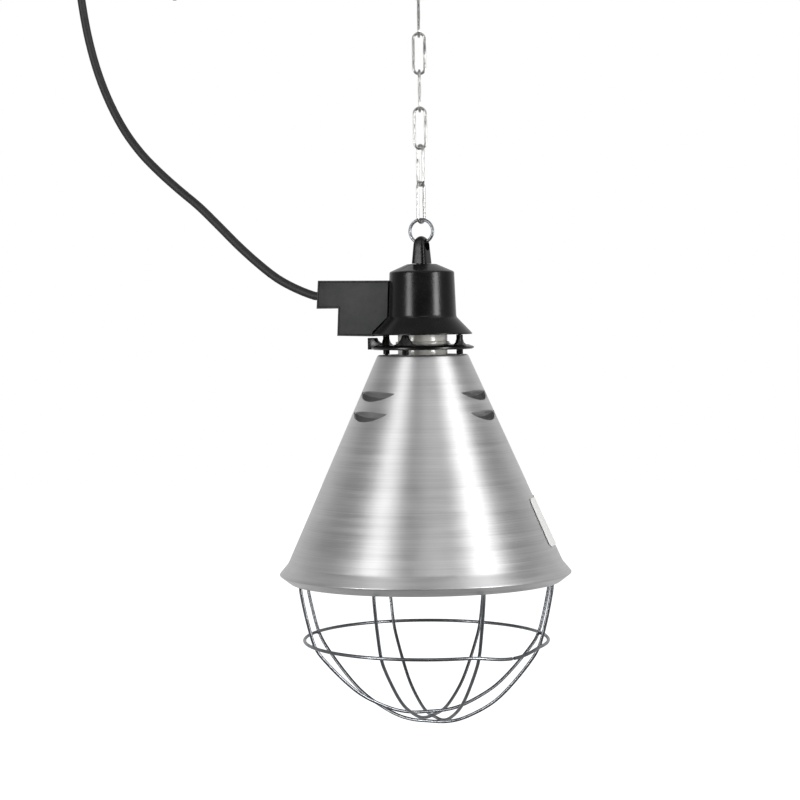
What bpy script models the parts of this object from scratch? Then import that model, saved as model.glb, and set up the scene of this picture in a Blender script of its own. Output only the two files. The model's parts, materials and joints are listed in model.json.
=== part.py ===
"""A hanging heat lamp fixture for poultry and small livestock, as separate named pieces.

Spun reflector, black housing with a side cable box, porcelain lampholder, wire guard, hang ring,
link chain, S-hook and a two-core mains cord with its plug. Lengths in the outlines are millimetres,
and heights are measured up from the reflector's lip; MM turns them into metres. The whole lamp hangs
from the inside of the S-hook's upper bend, which is the origin.
"""

from math import cos, pi, radians, sin

import bmesh
import bpy
from mathutils import Vector

MM = 0.001
GAP = 0.3  # between pieces that touch

# Reflector
LIP_RADIUS = 105.0
NECK_RADIUS = 32.7
NECK_HEIGHT = 156.5
SHEET = 0.9
CREASE = (98.6, 7.6)  # radius and height where the cone meets the rolled lip
CONE_SLOPE = (CREASE[0] - NECK_RADIUS) / (NECK_HEIGHT - 0.9 - CREASE[1])
VENT_HEADINGS = (0, 120, 240)
VENT_HEIGHTS = (130.0, 115.8)
VENT_HALF_WIDTH = 20.6
VENT_DROP = 6.0

# Housing
POST_RADIUS = 29.0
POST_HEADINGS = (0, 90, 180, 270)
CAP_BOTTOM = 170.8
CAP_TOP = 221.2
BOX_TOP = (210.6, 209.7)  # at its outer end and inside the housing
BOX_STEP = 190.2
BOX_BOTTOM = (170.4, 169.4)
BOX_HALF_WIDTH = 12.0
CORD_HEIGHT = 198.8  # of the cord's hole in the cable box

# Guard, with the small errors of a hand-welded one: hoops off centre, and a ring that sits askew
WIRE = 2.4
RING_HEIGHT = -48.6
RING_RADIUS = 87.7
RING_JOINT = -22  # heading of the ring's butt joint
RING_GAP = 1.4  # degrees between the ring's ends
JOINT_DROOP = 3.4  # of the ring's ends under the rest of it
JOINT_REACH = 24  # degrees either side of the joint that droop
RING_TILT = (0.015, 0.014)  # fall of the guard's middle for each millimetre along X and along -Y
HOOP_HEADINGS = (44, 90, 136, 184)  # from the innermost hoop to the outermost
HOOP_OFFSETS = (-4.2, -5.0, -6.1, -1.7)  # of each hoop's plane from the lamp's axis
HOOP_DEPTHS = (-100.2, -102.9, -105.6, -108.3)
HOOP_OUTLINE = ((95.2, 4.0), (95.0, -6.5), (93.7, -15.0), (90.2, -31.0), (85.0, RING_HEIGHT),
                (77.3, -59.5), (61.0, -76.0), (47.0, -86.5), (28.0, -95.3), (14.0, -98.6), (0.0, -99.0))

# Chain and what it hangs from
LINK_WIRE = 2.0
LINK_LENGTH = 28.8  # between the wire's centre lines at the two ends
LINK_WIDTH = 8.0
LINK_PITCH = LINK_LENGTH - LINK_WIRE - GAP
LINK_HEADINGS = (80, 144, 25, 115, 25, 115, 25)  # of each link's plane, from the lowest up
HANG_RING_WIRE = 2.2
HANG_RING_RADIUS = 8.4
HANG_RING_HEADING = 10
EYE_HOLE_TOP = 238.9
EYE_HOLE_RADIUS = 4.1
EYE_HALF_THICKNESS = 4.45  # of the hanger eye, at its hole
HOOK_WIRE = 3.0
HOOK_HEADING = 115
HOOK_LOWER_BEND = 8.0
HOOK_UPPER_BEND = 11.0
HOOK_LENGTH = 66.0  # between the wire's centre lines at the two bends

# Cord
CORD = 6.2
COIL_CENTRE = (-241.0, 506.0)
COIL_LAYERS = (40.3, 34.0, 27.7)
COIL_HALF_WIDTH = 13.4
CORD_ROUTE = ((-66, 0, 198.8), (-80, 0, 198.8), (-87, 0, 199.7), (-102, 0, 205.1), (-118, 0, 213.1),
              (-134, 0, 224.5), (-150.5, 0, 238.1), (-167, 0, 253.2), (-183.5, 0, 267.9),
              (-200, 0, 280.5), (-217, 0, 294.3), (-233, 0, 309.2), (-247.5, 0, 326.8),
              (-259.5, -1, 347.8), (-268.6, -3, 371), (-275, -5, 395.5), (-279, -7, 420.5),
              (-281, -9, 445), (-281.3, -10, 466), (-281.3, -10.1, 482))
TAIL_ROUTE = ((-234.6, 17.4, 533.0), (-228, 18.9, 530.6), (-221, 20.9, 525.8), (-214.2, 23, 518.6),
              (-209.4, 25.2, 508.6), (-208, 26, 499), (-208, 26, 493))
PLUG_CENTRE = (-208.0, 26.0)
PLUG_FACE = 446.0

RING_RISE = HANG_RING_RADIUS - (HANG_RING_RADIUS ** 2 - EYE_HALF_THICKNESS ** 2) ** 0.5  # across the eye
PIVOT_HEIGHT = EYE_HOLE_TOP - GAP - HANG_RING_WIRE / 2 - RING_RISE
RING_TOP = PIVOT_HEIGHT + 2 * HANG_RING_RADIUS
FIRST_LINK_HEIGHT = RING_TOP - HANG_RING_WIRE / 2 - LINK_WIRE / 2 - GAP  # its lower centre line
HOOK_HEIGHT = (FIRST_LINK_HEIGHT + (len(LINK_HEADINGS) - 1) * LINK_PITCH + LINK_LENGTH
               - LINK_WIRE / 2 - HOOK_WIRE / 2 - GAP)
LIP_DEPTH = HOOK_HEIGHT + HOOK_LENGTH - HOOK_WIRE / 2  # of the reflector's lip under the origin

COLOURS = {  # base colour, roughness, metallic
    "aluminium": ((0.62, 0.62, 0.62), 0.35, 1.0),
    "black_plastic": ((0.02, 0.02, 0.022), 0.4, 0.0),
    "grey_black_plastic": ((0.045, 0.045, 0.048), 0.55, 0.0),
    "porcelain": ((0.8, 0.79, 0.76), 0.25, 0.0),
    "brass": ((0.7, 0.52, 0.22), 0.35, 1.0),
    "zinc_wire": ((0.35, 0.36, 0.38), 0.35, 1.0),
    "bright_zinc": ((0.75, 0.75, 0.74), 0.25, 1.0),
    "black_rubber": ((0.015, 0.015, 0.016), 0.6, 0.0),
    "blue_insulation": ((0.03, 0.12, 0.5), 0.4, 0.0),
    "brown_insulation": ((0.16, 0.06, 0.025), 0.4, 0.0),
    "white_label": ((0.85, 0.85, 0.85), 0.5, 0.0),
    "black_webbing": ((0.02, 0.02, 0.02), 0.9, 0.0),
}


# ---------------------------------------------------------------- tools

def new_collection(name):
    collection = bpy.data.collections.new(name)
    bpy.context.scene.collection.children.link(collection)
    return collection


def new_material(name):
    colour, roughness, metallic = COLOURS[name]
    material = bpy.data.materials.new(name)
    material.use_nodes = True
    shader = material.node_tree.nodes["Principled BSDF"]
    shader.inputs["Base Color"].default_value = (*colour, 1)
    shader.inputs["Roughness"].default_value = roughness
    shader.inputs["Metallic"].default_value = metallic
    material.diffuse_color = (*colour, 1)
    return material


def pivot(name, height, parent=None):
    """An empty on the lamp's axis, at a height over the lip, that moving pieces turn or slide about."""
    empty = bpy.data.objects.new(name, None)
    parts.objects.link(empty)
    empty["height"] = height
    empty.parent = parent
    above = parent["height"] if parent else LIP_DEPTH
    empty.location.z = (height - above) * MM
    return empty


def place(obj, material=None, parent=None):
    """Puts an object among the parts, or among the cutters if it has no material."""
    if material is None:
        cutters.objects.link(obj)
        obj.hide_render = True
        obj.display_type = "WIRE"
    else:
        parts.objects.link(obj)
        obj.data.materials.append(materials[material])
    obj.parent = parent
    obj.location.z = -(parent["height"] if parent else LIP_DEPTH) * MM
    return obj


def finish_mesh(name, mesh, material, parent):
    if mesh.polygons:
        mesh.shade_smooth()
        mesh.set_sharp_from_angle(angle=radians(35))
    return place(bpy.data.objects.new(name, mesh), material, parent)


def turned(name, outline, material=None, parent=None, steps=32, hollow=True):
    """An outline of (radius, height) turned about the lamp's axis, from its outer side to its inner."""
    mesh = bpy.data.meshes.new(name)
    edges = [(i, i + 1) for i in range(len(outline) - 1)]
    if hollow:
        edges.append((len(outline) - 1, 0))
    mesh.from_pydata([(r * MM, 0, z * MM) for r, z in outline], edges, [])
    obj = finish_mesh(name, mesh, material, parent)
    screw = obj.modifiers.new("Turn", "SCREW")
    screw.steps = screw.render_steps = steps
    screw.use_merge_vertices = True
    screw.merge_threshold = 0.00001
    screw.use_smooth_shade = True
    return obj


def block(name, low, high, material=None, parent=None, bevel=0.0):
    """A box between two corners, with its edges rounded."""
    shape = bmesh.new()
    bmesh.ops.create_cube(shape, size=1)
    low, high = Vector(low), Vector(high)
    for vertex in shape.verts:
        vertex.co = (low + high) / 2 + vertex.co * (high - low)
    return shape_object(name, shape, material, parent, bevel)


def shape_object(name, shape, material, parent, bevel=0.0):
    """Makes an object of a shape in millimetres."""
    mesh = bpy.data.meshes.new(name)
    shape.normal_update()
    bmesh.ops.recalc_face_normals(shape, faces=shape.faces)
    bmesh.ops.scale(shape, verts=shape.verts, vec=(MM, MM, MM))
    shape.to_mesh(mesh)
    shape.free()
    obj = finish_mesh(name, mesh, material, parent)
    if bevel:
        modifier = obj.modifiers.new("Round", "BEVEL")
        modifier.width = bevel * MM
        modifier.segments = 2
        modifier.limit_method = "ANGLE"
    return obj


def rod(name, start, end, radius, material=None, parent=None, sides=16, end_radius=None):
    """A cylinder or cone between two points."""
    start, end = Vector(start), Vector(end)
    along = end - start
    shape = bmesh.new()
    bmesh.ops.create_cone(shape, cap_ends=True, segments=sides, radius1=radius,
                          radius2=radius if end_radius is None else end_radius, depth=along.length)
    turn = along.to_track_quat("Z", "Y").to_matrix().to_4x4()
    turn.translation = (start + end) / 2
    shape.transform(turn)
    return shape_object(name, shape, material, parent)


def prism(name, outline, low, high, axis, material=None, parent=None, bevel=0.0):
    """A flat outline pushed along X, Y or Z; its points are the other two coordinates in order."""
    def point(pair, along):
        values = list(pair)
        values.insert("xyz".index(axis), along)
        return Vector(values)

    shape = bmesh.new()
    face = shape.faces.new([shape.verts.new(point(pair, low)) for pair in outline])
    pushed = bmesh.ops.extrude_face_region(shape, geom=[face])["geom"]
    moved = [item for item in pushed if isinstance(item, bmesh.types.BMVert)]
    bmesh.ops.translate(shape, verts=moved, vec=point((0, 0), high - low))
    return shape_object(name, shape, material, parent, bevel)


def combine(obj, other, operation):
    modifier = obj.modifiers.new(operation.title(), "BOOLEAN")
    modifier.operation = operation
    modifier.object = other
    return obj


def cut(obj, *tools):
    for tool in tools:
        combine(obj, tool, "DIFFERENCE")


def add(obj, *tools):
    for tool in tools:
        combine(obj, tool, "UNION")


def wire(name, points, thickness, material, parent=None, cyclic=False, sides=2):
    """A round wire along points in millimetres."""
    curve = bpy.data.curves.new(name, "CURVE")
    curve.dimensions = "3D"
    curve.bevel_depth = thickness / 2 * MM
    curve.bevel_resolution = sides
    curve.use_fill_caps = True
    spline = curve.splines.new("POLY")
    spline.points.add(len(points) - 1)
    for target, point in zip(spline.points, points):
        target.co = (*(Vector(point) * MM), 1)
    spline.use_cyclic_u = cyclic
    return place(bpy.data.objects.new(name, curve), material, parent)


def smooth_route(points, spacing):
    """Points about evenly spaced on a smooth curve through the given ones."""
    points = [Vector(p) for p in points]
    ends = [2 * points[0] - points[1], *points, 2 * points[-1] - points[-2]]
    found = [points[0]]
    for before, start, end, after in zip(ends, ends[1:], ends[2:], ends[3:]):
        count = max(1, round((end - start).length / spacing))
        for step in range(1, count + 1):
            t = step / count
            found.append(0.5 * (2 * start + (end - before) * t
                                + (2 * before - 5 * start + 4 * end - after) * t ** 2
                                + (3 * start - before - 3 * end + after) * t ** 3))
    return found


def heading(degrees, distance=1.0, height=0.0):
    return Vector((distance * cos(radians(degrees)), distance * sin(radians(degrees)), height))


def arc(centre, radius, start, end, steps):
    """Points of a flat arc, from one angle in degrees to another."""
    angles = [radians(start + (end - start) * i / steps) for i in range(steps + 1)]
    return [(centre[0] + radius * cos(a), centre[1] + radius * sin(a)) for a in angles]


def cone_radius(height):
    return CREASE[0] - (height - CREASE[1]) * CONE_SLOPE


# ---------------------------------------------------------------- hook, chain and ring

def make_hook():
    """An S-hook. Its upper bend hangs over a nail or bar, and its lower bend holds the chain."""
    top = HOOK_HEIGHT + HOOK_LENGTH
    lower = arc((0, HOOK_HEIGHT + HOOK_LOWER_BEND), HOOK_LOWER_BEND, 165, 390, 10)
    upper = arc((0, top - HOOK_UPPER_BEND), HOOK_UPPER_BEND, 195, -15, 10)
    outline = smooth_route([(r, 0, z) for r, z in lower + upper], 8)
    points = [heading(HOOK_HEADING, p.x, p.z) for p in outline]
    wire("s_hook", points, HOOK_WIRE, "bright_zinc")


def make_link(number, degrees, height, parent):
    half = LINK_WIDTH / 2
    low, high = (0, height + half), (0, height + LINK_LENGTH - half)
    outline = arc(low, half, 180, 360, 7) + arc(high, half, 0, 180, 7)
    points = [heading(degrees, r, z) for r, z in outline]
    wire(f"chain_link_{number}", points, LINK_WIRE, "bright_zinc", parent, cyclic=True)


def make_chain():
    """Links hang from the hook down. Each one turns about the wire of the link over it."""
    above = pivot("link_pivot_7", HOOK_HEIGHT)
    for number in range(len(LINK_HEADINGS), 0, -1):
        height = FIRST_LINK_HEIGHT + (number - 1) * LINK_PITCH
        make_link(number, LINK_HEADINGS[number - 1], height, above)
        name = f"link_pivot_{number - 1}" if number > 1 else "ring_pivot"
        above = pivot(name, height, above)
    points = [heading(HANG_RING_HEADING, r, z)
              for r, z in arc((0, PIVOT_HEIGHT + HANG_RING_RADIUS), HANG_RING_RADIUS, 0, 360, 20)[:-1]]
    wire("hang_ring", points, HANG_RING_WIRE, "zinc_wire", above, cyclic=True)
    return pivot("head_pivot", PIVOT_HEIGHT, above)


# ---------------------------------------------------------------- housing

def make_hanger(head):
    """The eye, its threaded stem through the housing, and the washer and nut that hold it."""
    low = CAP_TOP + GAP
    shape = bmesh.new()
    bmesh.ops.create_cube(shape, size=1)
    for vertex in shape.verts:
        top = vertex.co.z > 0
        half_x, half_y = (4.0, 5.5) if top else (5.7, 7.2)
        vertex.co = Vector((2 * vertex.co.x * half_x, 2 * vertex.co.y * half_y, 241.2 if top else low))
    eye = shape_object("hanger_eye", shape, "black_plastic", head, bevel=2.2)
    stem = rod("hanger_stem", (0, 0, low + 1), (0, 0, 207), 4.0, parent=head, sides=20)
    add(eye, stem)
    cut(eye, rod("eye_hole", (-9, 0, EYE_HOLE_TOP - EYE_HOLE_RADIUS),
                 (9, 0, EYE_HOLE_TOP - EYE_HOLE_RADIUS), EYE_HOLE_RADIUS, parent=head, sides=24))
    hole = rod("nut_hole", (0, 0, 205), (0, 0, 222), 4.0 + GAP, parent=head, sides=20)
    washer = rod("hanger_washer", (0, 0, 217.5), (0, 0, 218.7), 8.0, "bright_zinc", head, sides=24)
    nut = rod("hanger_nut", (0, 0, 211.2), (0, 0, 217.2), 7.2, "bright_zinc", head, sides=6)
    cut(washer, hole)
    cut(nut, hole)


def make_cap(head):
    cap = turned("housing_cap", (
        (4.4, CAP_TOP), (10.5, CAP_TOP), (22.6, 215.9), (23.2, 215.2), (24.4, 183.4),
        (35.6, 171.6), (35.6, CAP_BOTTOM), (33.6, CAP_BOTTOM), (22.3, 182.2), (21.0, 213.8),
        (20.4, 214.4), (9.8, 219.0), (4.4, 219.0)), "black_plastic", head, steps=36)
    for number, degrees in enumerate(POST_HEADINGS, 1):
        foot = heading(degrees, POST_RADIUS)
        boss = rod(f"boss_{number}", foot + Vector((0, 0, CAP_BOTTOM + 0.4)), foot + Vector((0, 0, 175.4)),
                   2.8, parent=head)
        add(cap, boss)
    for number, degrees in enumerate(POST_HEADINGS, 1):
        foot = heading(degrees, POST_RADIUS)
        cut(cap, rod(f"boss_hole_{number}", foot + Vector((0, 0, 168)), foot + Vector((0, 0, 174.8)),
                     1.4 + GAP, parent=head, sides=12))
    for side in (-1, 1):
        cut(cap, block(f"hanger_slot_{side}", (-4.1, min(side * 7.2, side * 11.6), 216.6),
                       (4.1, max(side * 7.2, side * 11.6), 222), parent=head))
    cut(cap, block("wire_window", (-27, -6, 187), (-19, 6, 202), parent=head))


def box_outline(inset=0.0, end=-16.0):
    """The cable box's side view as (x, z), drawn in from its outer edges."""
    step = BOX_STEP + inset
    return ((end, BOX_TOP[1] - inset), (-77.8 + inset, BOX_TOP[0] - inset), (-79.2 + inset, step),
            (-61.6 + inset, step), (-62.6 + inset, BOX_BOTTOM[0] + inset), (end, BOX_BOTTOM[1] + inset))


def cap_clearance(name, head, extra):
    """What the cable box and its cover are cut back by, so that they end at the housing."""
    rim = 35.6 + extra
    outline = ((0, 216), (23.2 + extra, 216), (24.4 + extra, 183.4), (rim, 171.9 + extra), (rim, 165),
               (0, 165))
    return turned(name, outline, parent=head, steps=36, hollow=False)


def make_cable_box(head):
    half = BOX_HALF_WIDTH
    box = prism("cable_box", box_outline(), -half, half, "y", "grey_black_plastic", head)
    hole = CORD / 2 + GAP
    cut(box, prism("box_inside", box_outline(2.6, -8), -half - 5, half - 2.6, "y", parent=head),
        prism("cover_seat", box_outline(1.0, -8), -half - 5, -half + 2.3, "y", parent=head),
        cap_clearance("box_end", head, GAP),
        rod("cord_hole", (-85, 0, CORD_HEIGHT), (-75, 0, CORD_HEIGHT), hole, parent=head, sides=24))
    for y in (-6.2, 6.2):
        add(box, rod(f"clamp_pillar_{y}", (-71, y, BOX_STEP + 1.5), (-71, y, 202.0), 2.3, parent=head))
    add(box, block("cord_cradle", (-73, -5, BOX_STEP + 1.5), (-69, 5, CORD_HEIGHT - hole), parent=head))
    for y in (-6.2, 6.2):
        cut(box, rod(f"pillar_hole_{y}", (-71, y, 196), (-71, y, 206), 1.2 + GAP, parent=head, sides=12))

    cover = prism("cable_box_cover", box_outline(1.0 + GAP), -half, 2.0 - half, "y",
                  "grey_black_plastic", head)
    cut(cover, cap_clearance("cover_end", head, GAP + 0.5))
    for number, (x, z) in enumerate(((-55, 179), (-36, 204)), 1):
        add(cover, rod(f"cover_boss_{number}", (x, 1 - half, z), (x, half - 2.6 - GAP, z), 3.2,
                       parent=head))
        cut(cover, rod(f"cover_boss_hole_{number}", (x, -4, z), (x, half, z), 1.5 + GAP,
                       parent=head, sides=12))
        cut(box, rod(f"box_hole_{number}", (x, half - 4, z), (x, half + 4, z), 1.5 + GAP,
                     parent=head, sides=12))
        screw = rod(f"box_screw_{number}", (x, -3, z), (x, half + 1, z), 1.5, "bright_zinc", head, sides=12)
        add(screw, rod(f"box_screw_head_{number}", (x, half + GAP, z), (x, half + 1.9, z), 2.8,
                       parent=head))

    clamp = block("cord_clamp", (-73.5, -8.7, 202.3), (-68.5, 8.7, 205.3), "black_plastic", head, bevel=0.5)
    for number, y in enumerate((-6.2, 6.2), 1):
        cut(clamp, rod(f"clamp_hole_{number}", (-71, y, 200), (-71, y, 208), 1.2 + GAP,
                       parent=head, sides=12))
        screw = rod(f"clamp_screw_{number}", (-71, y, 197), (-71, y, 206), 1.2, "bright_zinc", head,
                    sides=12)
        add(screw, rod(f"clamp_screw_head_{number}", (-71, y, 205.6), (-71, y, 207.4), 2.2, parent=head))


def make_carrier(head):
    """The ring that carries the lampholder, with its four posts, their ribs, and the lug under the box."""
    low, high = 160.2, 163.4
    ring = turned("carrier_ring", ((18.1, high), (33.0, high), (36.8, 162.0), (36.8, 161.0), (35.2, low),
                                   (18.1, low)), "black_plastic", head, steps=36)
    for number, degrees in enumerate(POST_HEADINGS, 1):
        foot = heading(degrees, POST_RADIUS)
        post = rod(f"post_{number}", foot + Vector((0, 0, NECK_HEIGHT + GAP)),
                   foot + Vector((0, 0, CAP_BOTTOM - GAP)), 2.4, parent=head, sides=14)
        rib = prism(f"post_rib_{number}", (
            (-8.5, low + 1), (-8.5, high + 0.3), (-5.2, high + 1.6), (-3.2, high + 4.4), (-2.0, 170.2),
            (2.0, 170.2), (3.2, high + 4.4), (5.2, high + 1.6), (8.5, high + 0.3), (8.5, low + 1)),
            POST_RADIUS - 1.1, POST_RADIUS + 1.1, "x", parent=head)
        rib.rotation_euler.z = radians(degrees)
        add(ring, post, rib)
    lug = ((-42.5, low), (-42.5, 168.6), (-37.6, 168.6), (-36.6, 166.6), (-34.6, 165.1), (-30.5, 164.3),
           (-30.5, low))
    add(ring, prism("carrier_lug", lug, -3, 3, "y", parent=head))
    for number, degrees in enumerate(POST_HEADINGS, 1):
        foot = heading(degrees, POST_RADIUS)
        cut(ring, rod(f"post_hole_{number}", foot + Vector((0, 0, 150)), foot + Vector((0, 0, 175)),
                      1.4 + GAP, parent=head, sides=12))
        screw = rod(f"post_screw_{number}", foot + Vector((0, 0, 154.5)), foot + Vector((0, 0, 174.4)), 1.4,
                    "bright_zinc", head, sides=12)
        add(screw, rod(f"post_screw_head_{number}", foot + Vector((0, 0, 153.2)),
                       foot + Vector((0, 0, NECK_HEIGHT - SHEET - 0.1 - GAP)), 2.3, parent=head))


def make_lampholder(head):
    """Porcelain body with a screw shell for a large Edison cap, a centre contact and two terminals."""
    body = turned("lampholder", (
        (1.9, 188), (15.4, 188), (17.8, 185), (17.8, 165.9), (19.4, 165.6), (19.4, 163.7), (17.8, 163.7),
        (17.8, 136), (16.9, 134.4), (14.9, 134.4), (14.9, 175.5), (1.9, 175.5)),
        "porcelain", head, steps=28)
    waves = 4
    thread = []
    for i in range(2 * waves + 1):
        thread.append((14.3 if i % 2 else 13.5, 168.5 - i * 30.5 / (2 * waves)))
    inner = [(r - 0.5, z) for r, z in reversed(thread)]
    turned("screw_shell", [(7.0, 171.5), (13.2, 171.5), *thread, *inner, (12.7, 171.0), (7.0, 171.0)],
           "brass", head, steps=18)
    turned("centre_contact", (
        (0, 190.5), (1.6, 190.5), (1.6, 175.2), (4.6, 175.2), (4.6, 174.2), (0, 173.2)),
        "brass", head, steps=14, hollow=False)
    for name, y in (("live", 10.0), ("neutral", -10.0)):
        cut(body, rod(f"terminal_hole_{name}", (0, y, 181), (0, y, 190), 1.5 + GAP, parent=head, sides=12))
        screw = rod(f"terminal_screw_{name}", (0, y, 182), (0, y, 189), 1.5, "brass", head, sides=12)
        add(screw, rod(f"terminal_head_{name}", (0, y, 188 + GAP), (0, y, 190.4), 3.2,
                       parent=head, sides=16))
    for name, colour, side in (("live", "brown_insulation", 1), ("neutral", "blue_insulation", -1)):
        route = ((-65.4, side * 1.5, 198.8), (-58, side * 2.2, 198.6), (-46, side * 3.4, 197.2),
                 (-32, side * 3.8, 195), (-20, side * 4, 193.6), (-11, side * 6, 191.6),
                 (-5, side * 9.4, 190.0))
        wire(f"wire_{name}", smooth_route(route, 6), 2.0, colour, head, sides=1)


# ---------------------------------------------------------------- reflector and guard

def vent_hole(name, degrees, height, head):
    """A smile-shaped prism that goes through the cone along the vent's heading."""
    steps = 9
    outline = [(VENT_HALF_WIDTH, height)]
    for i in range(1, steps):
        share = cos(pi * i / steps)
        outline.append((VENT_HALF_WIDTH * share, height - VENT_DROP * (1 - share ** 2) ** 0.75))
    outline.append((-VENT_HALF_WIDTH, height))
    hole = prism(name, outline, 30, 62, "x", parent=head)
    hole.rotation_euler.z = radians(degrees)
    return hole


def make_reflector(head):
    cone_in = SHEET * 0.913
    shade = turned("reflector", (
        (25.0, NECK_HEIGHT), (NECK_RADIUS - 1.0, NECK_HEIGHT), (NECK_RADIUS, NECK_HEIGHT - 0.9), CREASE,
        (LIP_RADIUS - 0.8, 0.9), (LIP_RADIUS, -0.1), (LIP_RADIUS - 0.8, -0.9), (97.4, -6.1),
        (96.9, -5.3), (103.7, 0.0), (CREASE[0] - cone_in, CREASE[1] - 0.4),
        (NECK_RADIUS - cone_in - 0.2, NECK_HEIGHT - SHEET - 0.1), (25.0, NECK_HEIGHT - SHEET - 0.1)),
        "aluminium", head, steps=54)
    vents = [(degrees, height) for degrees in VENT_HEADINGS for height in VENT_HEIGHTS]
    for number, (degrees, height) in enumerate(vents, 1):
        cut(shade, vent_hole(f"vent_{number}", degrees, height, head))
    for number, degrees in enumerate(POST_HEADINGS, 1):
        foot = heading(degrees, POST_RADIUS)
        cut(shade, rod(f"neck_hole_{number}", foot + Vector((0, 0, 150)), foot + Vector((0, 0, 160)),
                       1.4 + GAP, parent=head, sides=13))


def make_label(head):
    """A plain sticker that follows the cone."""
    low, high, middle, half_turn, steps = 20.0, 54.0, 23.0, 17.0, 8
    shape = bmesh.new()
    rows = []
    for i in range(steps + 1):
        degrees = middle - half_turn + 2 * half_turn * i / steps
        rows.append([shape.verts.new(heading(degrees, cone_radius(z) + 0.45, z) * MM) for z in (low, high)])
    for first, second in zip(rows, rows[1:]):
        shape.faces.new((first[0], second[0], second[1], first[1]))
    mesh = bpy.data.meshes.new("rating_label")
    shape.to_mesh(mesh)
    shape.free()
    label = finish_mesh("rating_label", mesh, "white_label", head)
    solid = label.modifiers.new("Paper", "SOLIDIFY")
    solid.thickness = 0.3 * MM
    solid.offset = 1


def askew(point):
    """Lets a point of the guard down or up, as far as the guard's middle is tilted there."""
    share = min(max(point.z / RING_HEIGHT, 0.0), 1.0)
    fall = RING_TILT[0] * point.x - RING_TILT[1] * point.y
    return point - Vector((0, 0, fall * share))


def hoop_points(degrees, offset, depth):
    """One guard wire from rim to rim, in a plane beside the lamp's axis, down to the given depth."""
    stretch = (depth - RING_HEIGHT) / (HOOP_OUTLINE[-1][1] - RING_HEIGHT)
    half = []
    for radius, height in HOOP_OUTLINE:
        under = min(height - RING_HEIGHT, 0.0)
        half.append((radius, 0, height + under * (stretch - 1)))
    whole = half + [(-radius, 0, height) for radius, _, height in reversed(half[:-1])]
    rim = HOOP_OUTLINE[0][0]
    chord = (rim ** 2 - offset ** 2) ** 0.5 / rim
    aside = heading(degrees + 90, offset)
    return [askew(heading(degrees, p.x * chord, p.z) + aside) for p in smooth_route(whole, 12)]


def ring_points(steps):
    """The guard's ring from one side of its butt joint round to the other. Both its ends droop."""
    found = []
    for i in range(steps + 1):
        turn = RING_GAP / 2 + (360 - RING_GAP) * i / steps
        near = max(0.0, 1 - (min(turn, 360 - turn) / JOINT_REACH) ** 2)
        point = askew(heading(RING_JOINT + turn, RING_RADIUS, RING_HEIGHT))
        found.append(point - Vector((0, 0, JOINT_DROOP * near ** 2)))
    return found


def make_guard(guard):
    hoops = zip(HOOP_HEADINGS, HOOP_OFFSETS, HOOP_DEPTHS)
    for number, (degrees, offset, depth) in enumerate(hoops, 1):
        wire(f"guard_hoop_{number}", hoop_points(degrees, offset, depth), WIRE, "zinc_wire", guard)
    wire("guard_ring", ring_points(42), WIRE, "zinc_wire", guard)


# ---------------------------------------------------------------- cord

def make_cord():
    """The cord rises from the cable box to a coil, tied up beside the hook, and ends in its plug."""
    wire("cord_run", smooth_route(CORD_ROUTE, 14), CORD, "black_rubber")
    x, z = COIL_CENTRE
    outer, inner = COIL_LAYERS[0] + CORD / 2 + 0.3, COIL_LAYERS[-1] - CORD / 2 - 0.3
    half = COIL_HALF_WIDTH
    coil = turned("cord_coil", (
        (inner + 2, half), (outer - 2, half), (outer, half - 2), (outer, 2 - half), (outer - 2, -half),
        (inner + 2, -half), (inner, 2 - half), (inner, half - 2)), "black_rubber", steps=36)
    coil.rotation_euler.x = pi / 2
    coil.location += Vector((x, 0, z)) * MM
    wire("cord_tail", smooth_route(TAIL_ROUTE, 12), CORD, "black_rubber")
    make_cord_strap(x, z, inner, outer, half)


def make_cord_strap(x, z, inner, outer, half):
    """A webbing loop through the coil, round its upper side and on up to the nail it hangs from."""
    low, high, side, sheet, width = z + inner - 2.2, z + outer + 26, half + 1.1, 1.2, 11.0
    lower = (arc((-side + 4, low + 4), 4, 180, 270, 3) + arc((side - 4, low + 4), 4, 270, 360, 3))
    loop = lower + [(side, z + outer - 1)] + arc((0, high - 3), 3, 20, 160, 4) + [(-side, z + outer - 1)]
    shape = bmesh.new()
    rings = [[shape.verts.new(Vector((x + along, y, height)) * MM) for y, height in loop]
             for along in (-width / 2, width / 2)]
    for i in range(len(loop)):
        j = (i + 1) % len(loop)
        shape.faces.new((rings[0][i], rings[0][j], rings[1][j], rings[1][i]))
    mesh = bpy.data.meshes.new("cord_strap")
    shape.to_mesh(mesh)
    shape.free()
    strap = finish_mesh("cord_strap", mesh, "black_webbing", None)
    solid = strap.modifiers.new("Webbing", "SOLIDIFY")
    solid.thickness = sheet * MM
    solid.offset = 0


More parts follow.
